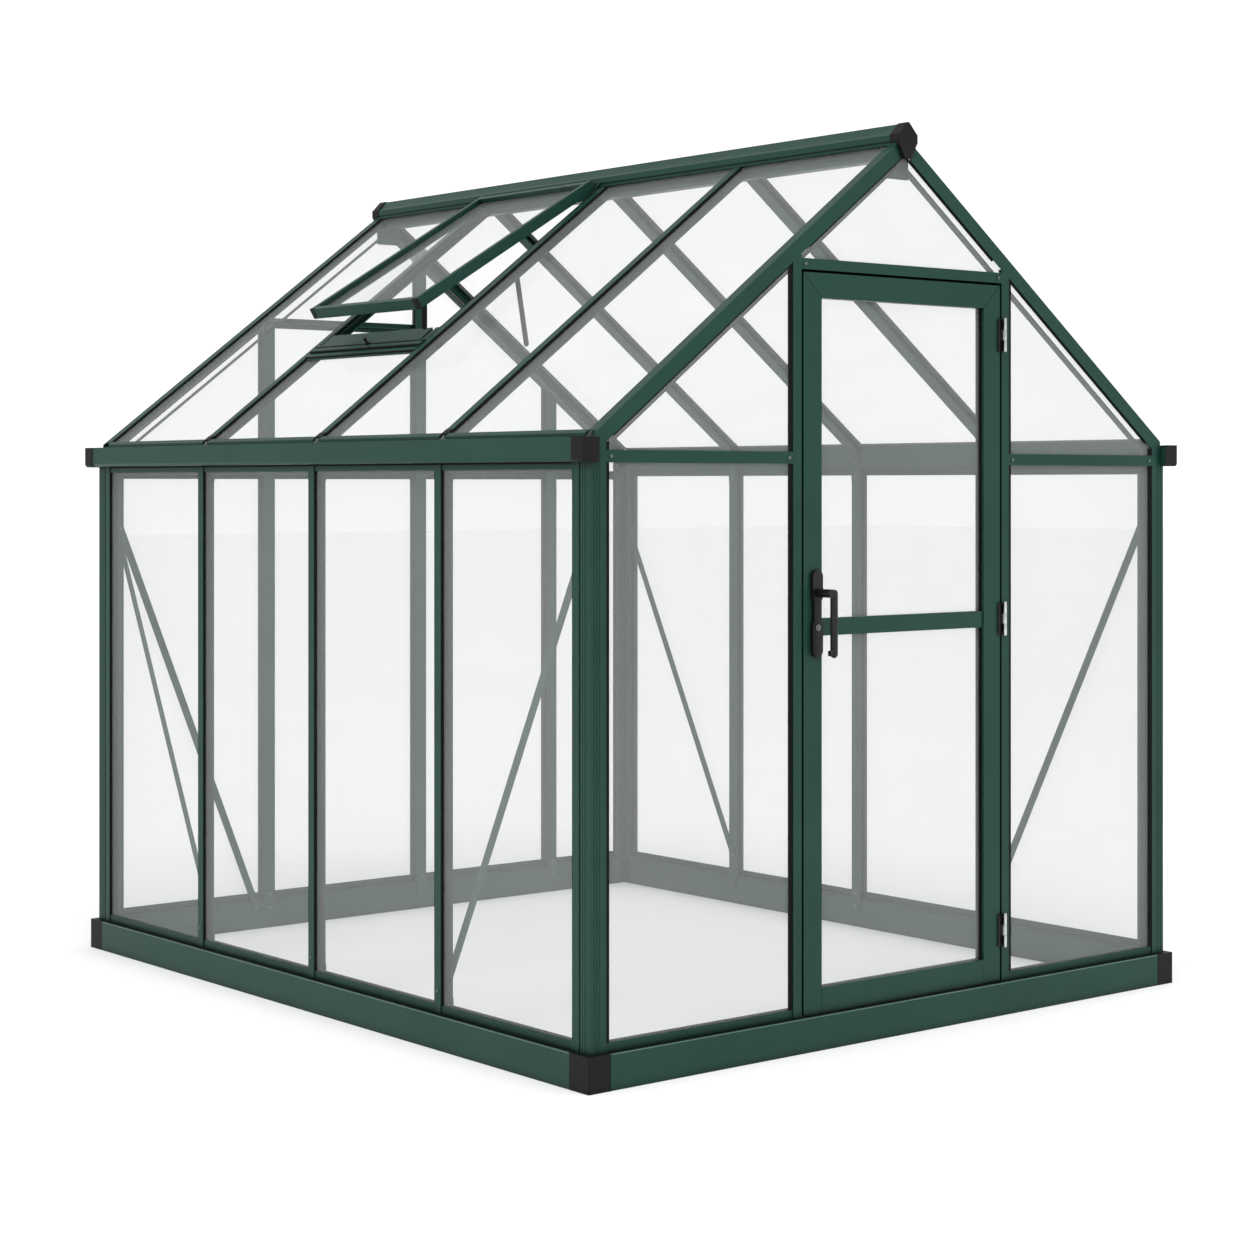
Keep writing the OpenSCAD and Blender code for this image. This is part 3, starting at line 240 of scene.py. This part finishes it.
def addStrip(low, high, axis, sign, groove=0.35, sink=0.0005):
    # a bar with a shallow groove along the face that looks out
    bar = addBox(low, high)
    bpy.ops.object.mode_set(mode="EDIT")
    bpy.ops.mesh.select_mode(type="FACE")
    bpy.ops.mesh.select_all(action="DESELECT")
    bpy.ops.object.mode_set(mode="OBJECT")
    for face in bar.data.polygons:
        face.select = face.normal[axis] * sign > 0.9
    bpy.ops.object.mode_set(mode="EDIT")
    thin = min(high[i] - low[i] for i in range(3) if i != axis)
    bpy.ops.mesh.inset(thickness=thin * groove, depth=-sink)
    bpy.ops.object.mode_set(mode="OBJECT")
    return bar


def addTurnedBox(size, turn, place):
    # a bar turned about the y axis, then moved to its place
    alone()
    bpy.ops.mesh.primitive_cube_add(size=1)
    bar = bpy.context.object
    bar.scale = size
    bpy.ops.object.transform_apply(location=True, rotation=True, scale=True)
    bar.rotation_euler = (0, turn, 0)
    bar.location = place
    bpy.ops.object.transform_apply(location=True, rotation=True, scale=True)
    return bar


def roofHeight(x):
    run = house["halfWidth"] - house["eaveIn"] - abs(x)
    return house["eaveHeight"] + math.tan(house["pitch"]) * run


def addSlopeBox(xHigh, xLow, y0, y1, depth0, depth1, side):
    # a bar lying down the slope, between two distances off the middle
    c = math.cos(house["pitch"])
    length = (xLow - xHigh) / c
    mid = (xHigh + xLow) / 2
    sink = (depth0 + depth1) / 2
    place = (side * (mid - math.sin(house["pitch"]) * sink), (y0 + y1) / 2,
             roofHeight(mid) - sink * c)
    return addTurnedBox((length, y1 - y0, depth1 - depth0), side * house["pitch"], place)


def joined(name, pieces, body, look, bevel=0.0):
    alone()
    for piece in pieces:
        piece.select_set(True)
    bpy.context.view_layer.objects.active = pieces[0]
    if len(pieces) > 1:
        bpy.ops.object.join()
    whole = bpy.context.object
    whole.name = name
    whole.data.materials.clear()
    whole.data.materials.append(look)
    if bevel:
        softEdges(whole, bevel)
        bpy.ops.object.modifier_apply(modifier="softEdges")
    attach(whole, body)
    return whole


seals = {"width": 0.005, "proud": 0.0006, "thin": 0.004, "besidePosts": 0.011,
         "shortest": 0.006, "level": 0.0001}


def postY(i):
    return house["front"] + house["firstPost"] + i * house["postPitch"]


def sideName(side):
    return "Right" if side > 0 else "Left"


def frameSeals(corners, place, axis, sign, w=seals["width"]):
    # seals round an opening: corners are along0, along1, z0, z1 at the low and high ends
    along0, along1, z0, z1High, z1Low = corners
    near, far = sorted((place[0], place[1]))
    t = seals["thin"]

    def corner(depth, along, z):
        return (depth, along, z) if axis == 0 else (along, depth, z)

    spans = [(along0, along0 + w, z0, z1High), (along1 - w, along1, z0, z1Low),
             (along0 + w, along1 - w, z0, z0 + t)]
    if abs(z1High - z1Low) < seals["level"]:
        spans.append((along0 + w, along1 - w, z1High - t, z1High))
    return [addStrip(corner(near, a, c), corner(far, b, d), axis, sign)
            for a, b, c, d in spans if d - c > seals["shortest"]]


def wallSeals(side):
    out = side * (house["halfWidth"] - house["stripIn"] + seals["proud"])
    back = side * (house["halfWidth"] - house["paneIn"])
    bars = []
    starts = [house["front"] + house["wallStripEdge"]]
    starts += [postY(i) + house["stripHalf"] for i in (1, 2, 3)]
    ends = [postY(i) - house["stripHalf"] for i in (1, 2, 3)]
    ends.append(house["rear"] - house["wallStripEdge"])
    for a, b in zip(starts, ends):
        bars += frameSeals((a, b, house["sillTop"], house["railLow"], house["railLow"]),
                           (out, back), 0, side)
    return joined("wallSeals" + sideName(side), bars, "frame", sealRubber,
                  soft["seal"])


def verge(x):
    # underside of the gable rafter's face
    return roofHeight(x) - house["vergeWidth"] / math.cos(house["pitch"])


def gableSeals(name, end, sign, panes, slopes):
    out = end - sign * (house["stripIn"] - seals["proud"])
    back = end - sign * house["paneIn"]
    bars = []
    for pane in panes:
        bars += frameSeals(pane, (out, back), 1, sign, seals["besidePosts"])
    depth = house["vergeWidth"]
    for high, low, side in slopes:
        bars.append(addSlopeBox(high, low, min(out, back), max(out, back),
                                depth, depth + seals["width"], side))
    return joined(name, bars, "frame", sealRubber, soft["seal"])


# where the seals under the sloping bars start and end, off the middle
gable = {"overDoor": (0.035, 0.372), "rearNarrow": (0.150, 0.694), "rearRight": 0.722,
         "rearLeft": 0.488}
edge = house["halfWidth"] - house["cornerEdge"]
jamb = house["jambEdge"]
low, bar, top = house["sillTop"], house["barLow"], house["barTop"]
frontPanes = [(-edge, -jamb, low, bar, bar), (jamb, edge, low, bar, bar),
              (-edge, -jamb, top, verge(edge), verge(jamb)),
              (jamb, edge, top, verge(jamb), verge(edge))]
gableSeals("gableSealsFront", house["front"], -1, frontPanes,
           [(jamb, edge, -1), (jamb, edge, 1),
            (*gable["overDoor"], -1), (*gable["overDoor"], 1)])

rearEdges = [-edge]
for x in house["rearPosts"]:
    rearEdges += [x - house["stripHalf"], x + house["stripHalf"]]
rearEdges.append(edge)
rearPanes = []
for a, b in zip(rearEdges[0::2], rearEdges[1::2]):
    rearPanes.append((a, b, low, house["rearBarLow"], house["rearBarLow"]))
    if a < 0 < b:
        rearPanes.append((a, b, house["rearBarTop"], house["rearHeaderLow"],
                          house["rearHeaderLow"]))
    else:
        rearPanes.append((a, b, house["rearBarTop"], verge(a), verge(b)))
gableSeals("gableSealsRear", house["rear"], 1, rearPanes,
           [(*gable["rearNarrow"], 1), (gable["rearRight"], edge, 1),
            (gable["rearLeft"], edge, -1)])

roofLine = {"bays": 4, "offGutter": 0.026, "offRidge": 0.002, "depth0": 0.0022,
            "depth1": 0.0068, "ventBay": 2}


def roofSeals(side):
    # lines beside the rafters, stopping at the sill in the vent's bay
    bars = []
    low = house["halfWidth"] - house["faceIn"] - roofLine["offGutter"]
    lastBay = roofLine["bays"] - 1
    for bay in range(roofLine["bays"]):
        a = postY(bay) + house["stripHalf"]
        b = postY(bay + 1) - house["stripHalf"]
        if bay == 0:
            a = house["front"] + house["frameIn"]
        if bay == lastBay:
            b = house["rear"] - house["frameIn"]
        high = house["ridgeHalf"] + roofLine["offRidge"]
        if side < 0 and bay == roofLine["ventBay"]:
            high = house["sillLow"]
        for y in (a, b - seals["width"]):
            bars.append(addSlopeBox(high, low, y, y + seals["width"],
                                    roofLine["depth0"], roofLine["depth1"], side))
    return joined("roofSeals" + sideName(side), bars, "frame", sealRubber,
                  soft["seal"])


for side in (-1, 1):
    wallSeals(side)
    roofSeals(side)

# sizes of the painted shade strips on the base ledge and under the gutters
ledge = {"in": 0.0195, "wide": 0.011, "high": 0.0009, "fromCorner": 0.072, "endIn": 0.076,
         "groove": 0.2, "sink": 0.0003}
gutterShadeLine = {"proud": 0.002, "bedded": 0.0005, "endIn": 0.02, "low": 0.0045, "high": 0.0005}


def ledgeShadeStrips():
    # painted shade: dark strips on the base's top where the sills stand on it, and under the
    # gutters, standing in for the shadow there
    x1 = house["halfWidth"] - ledge["in"]
    inner = house["halfWidth"] - ledge["fromCorner"]
    z0, z1 = house["baseTop"], house["baseTop"] + ledge["high"]
    y0, y1 = house["front"] + ledge["endIn"], house["rear"] - ledge["endIn"]
    under, inset = house["gutterLow"], gutterShadeLine["endIn"]
    bars = []
    for side in (-1, 1):
        xs = sorted((side * (x1 + ledge["wide"]), side * x1))
        bars.append(addStrip((xs[0], y0, z0), (xs[1], y1, z1), 2, 1,
                             ledge["groove"], ledge["sink"]))
        xs = sorted((side * (x1 + gutterShadeLine["proud"]), side * (x1 - gutterShadeLine["bedded"])))
        bars.append(addStrip((xs[0], y0 + inset, under - gutterShadeLine["low"]),
                             (xs[1], y1 - inset, under - gutterShadeLine["high"]), 0, side))
    for end, sign in ((house["front"], 1), (house["rear"], -1)):
        ys = sorted((end + sign * (ledge["in"] - ledge["wide"]), end + sign * ledge["in"]))
        bars.append(addStrip((-inner, ys[0], z0), (inner, ys[1], z1), 2, 1,
                             ledge["groove"], ledge["sink"]))
    return joined("ledgeShadeStrips", bars, "frame", sealRubber)


ledgeShadeStrips()

rim = {"wide": 0.0018, "high": 0.0021, "fromCorner": 0.0775, "proud": 0.00015,
       "over": 0.0001, "endLonger": 0.006, "groove": 0.2, "sink": 0.0001}


def baseHighlightRims():
    # painted highlight: light green strips along the upper edge of each base rail
    bars = []
    h, w, c = house["halfWidth"], rim["wide"], rim["fromCorner"]
    z0, z1 = house["baseTop"] - rim["high"], house["baseTop"] + rim["over"]
    for side in (-1, 1):
        xs = sorted((side * (h + rim["proud"]), side * (h - w)))
        bars.append(addStrip((xs[0], house["front"] + c, z0), (xs[1], house["rear"] - c, z1),
                             0, side, rim["groove"], rim["sink"]))
    for end, sign in ((house["front"], 1), (house["rear"], -1)):
        ys = sorted((end - sign * rim["proud"], end + sign * w))
        bars.append(addStrip((-h + c - rim["endLonger"], ys[0], z0),
                             (h - c + rim["endLonger"], ys[1], z1),
                             1, -sign, rim["groove"], rim["sink"]))
    return joined("baseHighlightRims", bars, "frame", paintedHighlightCoat)


baseHighlightRims()

foot = {"high": 1.041, "low": 1.0585, "half": 0.0148, "over": -0.0016, "under": 0.006,
        "round": 0.0014}


def rafterFeet():
    # moulded stops at the lower ends of the rafters
    pieces = [addSlopeBox(foot["high"], foot["low"], postY(i) - foot["half"],
                          postY(i) + foot["half"], foot["over"], foot["under"], side)
              for side in (-1, 1) for i in (1, 2, 3)]
    return joined("rafterFeet", pieces, "frame", blackMould, foot["round"])


rafterFeet()
print("seals laid")

door = {"halfWidth": 0.373, "low": 0.093, "high": 2.022, "rail": 0.065,
        "midLow": 1.0755, "midHigh": 1.1205, "face": 0.020, "back": 0.052,
        "paneFront": 0.034, "paneBack": 0.038, "bead": 0.005}
inner = door["halfWidth"] - door["rail"]


def doorSeals():
    # beads that hold the two panes, on both faces of the leaf
    openings = [(door["low"] + door["rail"], door["midLow"]),
                (door["midHigh"], door["high"] - door["rail"])]
    bars = []
    for z0, z1 in openings:
        for y0, y1, sign in ((door["paneFront"] - door["bead"], door["paneFront"], -1),
                             (door["paneBack"], door["paneBack"] + door["bead"], 1)):
            place = (house["front"] + y0, house["front"] + y1)
            bars += frameSeals((-inner, inner, z0, z1, z1), place, 1, sign)
    return joined("doorSeals", bars, "door", sealRubber, soft["seal"])


stop = {"jamb": 0.380, "header": 2.029, "wide": 0.011, "clear": 0.0002, "offLeaf": 0.0003,
        "back": 0.0542}


def stopSeals():
    # soft seal on the stops, closing the gap round the leaf
    y0 = house["front"] + door["back"] + stop["offLeaf"]
    y1 = house["front"] + stop["back"]
    x0, x1 = stop["jamb"] - stop["wide"], stop["jamb"] - stop["clear"]
    low, top = house["baseTop"], stop["header"]
    bars = [addStrip((-x1, y0, low), (-x0, y1, top), 1, -1),
            addStrip((x0, y0, low), (x1, y1, top), 1, -1),
            addStrip((-x0, y0, top - stop["wide"]), (x0, y1, top - stop["clear"]), 1, -1)]
    return joined("stopSeals", bars, "frame", sealRubber, soft["seal"])


joint = {"half": 0.0004, "proud": 0.0001, "deep": 0.0006, "short": 0.001,
         "mitreShort": 0.0015, "mitreWide": 0.0008, "groove": 0.2, "sink": 0.0001}


def mitreLines():
    # fine dark joints: mitres at the leaf's upper corners, butts at the lower ones
    face = house["front"] + door["face"]
    z0 = door["low"] + joint["short"]
    z1 = door["low"] + door["rail"] - joint["short"]
    lines = []
    for side in (-1, 1):
        x = side * inner
        lines.append(addStrip((x - joint["half"], face - joint["proud"], z0),
                              (x + joint["half"], face + joint["deep"], z1), 1, -1,
                              joint["groove"], joint["sink"]))
        length = (door["rail"] - joint["mitreShort"]) * math.sqrt(2)
        corner = (side * (door["halfWidth"] + inner) / 2, face,
                  door["high"] - door["rail"] / 2)
        lines.append(addTurnedBox((length, joint["deep"], joint["mitreWide"]),
                                  math.radians(-45) * side, corner))
    return joined("mitreLines", lines, "door", sealRubber)


doorSeals()
stopSeals()
mitreLines()

leaf = {"heights": (0.233, 1.098, 1.885), "x0": 0.3618, "x1": 0.3772, "half": 0.0445,
        "face": 0.0174, "over": 0.0012, "under": 0.0006, "groove": 0.12, "sink": 0.0003,
        "round": 0.0003}


def hingePlates():
    # black plates over the leaves that are screwed to the door
    y = house["front"] + leaf["face"]
    plates = [addStrip((leaf["x0"], y - leaf["over"], z - leaf["half"]),
                       (leaf["x1"], y + leaf["under"], z + leaf["half"]), 1, -1,
                       leaf["groove"], leaf["sink"]) for z in leaf["heights"]]
    return joined("hingePlates", plates, "door", blackCoat, leaf["round"])


hingePlates()

sash = {"pitch": math.radians(31.2), "length": 0.760, "thick": 0.034,
        "side": 0.0085, "reach": 0.009, "capWide": 0.0215, "capOver": 0.0012,
        "endOver": 0.001, "faceOver": 0.0009, "round": 0.0016}


def ventEdges(inset):
    # the two sides of the vent's bay, an inset in from the rafters' bars
    return (postY(2) + house["stripHalf"] + inset, postY(3) - house["stripHalf"] - inset)


def sashCorners():
    # moulded corner pieces at the lower ends of the vent's frame
    c, t = math.cos(sash["pitch"]), math.sin(sash["pitch"])
    y0, y1 = ventEdges(sash["side"])
    u = sash["length"] - sash["reach"] / 2 + sash["endOver"]
    v = sash["thick"] / 2 + sash["faceOver"]
    x = -house["ventHigh"] - u * c - v * t
    z = roofHeight(house["ventHigh"]) - u * t + v * c
    pieces = [addTurnedBox((sash["reach"], b - a, sash["thick"]), -sash["pitch"],
                           (x, (a + b) / 2, z))
              for a, b in ((y0 - sash["capOver"], y0 + sash["capWide"]),
                           (y1 - sash["capWide"], y1 + sash["capOver"]))]
    return joined("sashCorners", pieces, "sash", blackMould, sash["round"])


sashCorners()

# each row: distances off the middle, then depths below the roof line
sillLines = {"rows": ((0.6828, 0.6880, -0.0066, -0.0040), (0.7005, 0.7050, -0.0062, -0.0020),
                      (0.7190, 0.7235, -0.0024, 0.0030)), "inset": 0.002}


def sillSeals():
    # dark joints along the bars that the closed vent rests on
    y0, y1 = ventEdges(sillLines["inset"])
    bars = [addSlopeBox(a, b, y0, y1, c, d, -1) for a, b, c, d in sillLines["rows"]]
    return joined("sillSeals", bars, "frame", sealRubber, soft["seal"])


sillSeals()

ventSide = {"high": 0.058, "low": 0.6815, "wide": 0.0078, "depth0": 0.0004, "depth1": 0.0040}


def ventSideSeals():
    # brush strips on the rafters, filling the gap beside the vent
    y0, y1 = ventEdges(0)
    bars = [addSlopeBox(ventSide["high"], ventSide["low"], a, b,
                        ventSide["depth0"], ventSide["depth1"], -1)
            for a, b in ((y0, y0 + ventSide["wide"]), (y1 - ventSide["wide"], y1))]
    return joined("ventSideSeals", bars, "frame", sealRubber, soft["seal"])


ventSideSeals()
print("fittings added")

camera = {"lens": 73.17, "sensor": 36, "place": (-4.908, -6.059, 1.471),
          "turn": math.radians(-39.26), "shiftY": -0.1139, "reach": 200}
bpy.ops.object.camera_add(location=camera["place"],
                          rotation=(math.radians(90), 0, camera["turn"]))
eye = bpy.context.object
eye.data.lens = camera["lens"]
eye.data.sensor_width = camera["sensor"]
eye.data.shift_y = camera["shiftY"]
eye.data.clip_end = camera["reach"]
bpy.context.scene.camera = eye

floor = {"size": 120, "toneScale": 0.4, "dark": (0.94, 0.94, 0.94), "light": (0.96, 0.96, 0.96)}
alone()
bpy.ops.mesh.primitive_plane_add(size=floor["size"], location=(0, 0, 0))
ground = bpy.context.object
ground.name = "studioFloor"
floorLook, floorParts, floorWires = lookOf("paleFloor")
floorShader = floorParts["Principled BSDF"]
floorGrain = grain(floorParts, floorWires, floor["toneScale"])
floorTone = ramp(floorParts, floorWires, floorGrain.outputs["Fac"], floor["dark"], floor["light"])
floorWires.new(floorTone.outputs["Color"], floorShader.inputs["Base Color"])
floorShader.inputs["Roughness"].default_value = 1.0
floorShader.inputs["Specular IOR Level"].default_value = 0.0
ground.data.materials.append(floorLook)

# skyForLight is the sky's strength on the object, skySeen its strength behind it
studio = {"skyForLight": 0.82, "skySeen": 1.15, "sun": 1.15, "sunTurn": (24, -19, 0),
          "sunSpread": 45, "sunPlace": (0, 0, 6), "lampAim": (0, 0, 1)}
world = bpy.data.worlds.new("studioSky")
bpy.context.scene.world = world
world.use_nodes = True
skyParts, skyWires = world.node_tree.nodes, world.node_tree.links
sky = skyParts["Background"]
sky.inputs["Color"].default_value = (1, 1, 1, 1)
ray = skyParts.new("ShaderNodeLightPath")
level = skyParts.new("ShaderNodeMapRange")
level.inputs["To Min"].default_value = studio["skyForLight"]
level.inputs["To Max"].default_value = studio["skySeen"]
skyWires.new(ray.outputs["Is Camera Ray"], level.inputs["Value"])
skyWires.new(level.outputs["Result"], sky.inputs["Strength"])

bpy.ops.object.light_add(type="SUN", location=studio["sunPlace"],
                         rotation=[math.radians(a) for a in studio["sunTurn"]])
sun = bpy.context.object
sun.name = "softSun"
sun.data.energy = studio["sun"]
sun.data.angle = math.radians(studio["sunSpread"])

# name, place, size and power of each lamp
lamps = [("key", (-7, -3, 3.2), 2.0, 120), ("fill", (5, -7, 4), 3.0, 110)]
for lampName, place, size, power in lamps:
    bpy.ops.object.light_add(type="AREA", location=place)
    lamp = bpy.context.object
    lamp.name = lampName
    lamp.data.size = size
    lamp.data.energy = power
    lamp.visible_glossy = False
    aim = Vector(studio["lampAim"]) - Vector(place)
    lamp.rotation_euler = aim.to_track_quat("-Z", "Y").to_euler()
bpy.context.scene.view_settings.view_transform = "Standard"
print("studio ready")
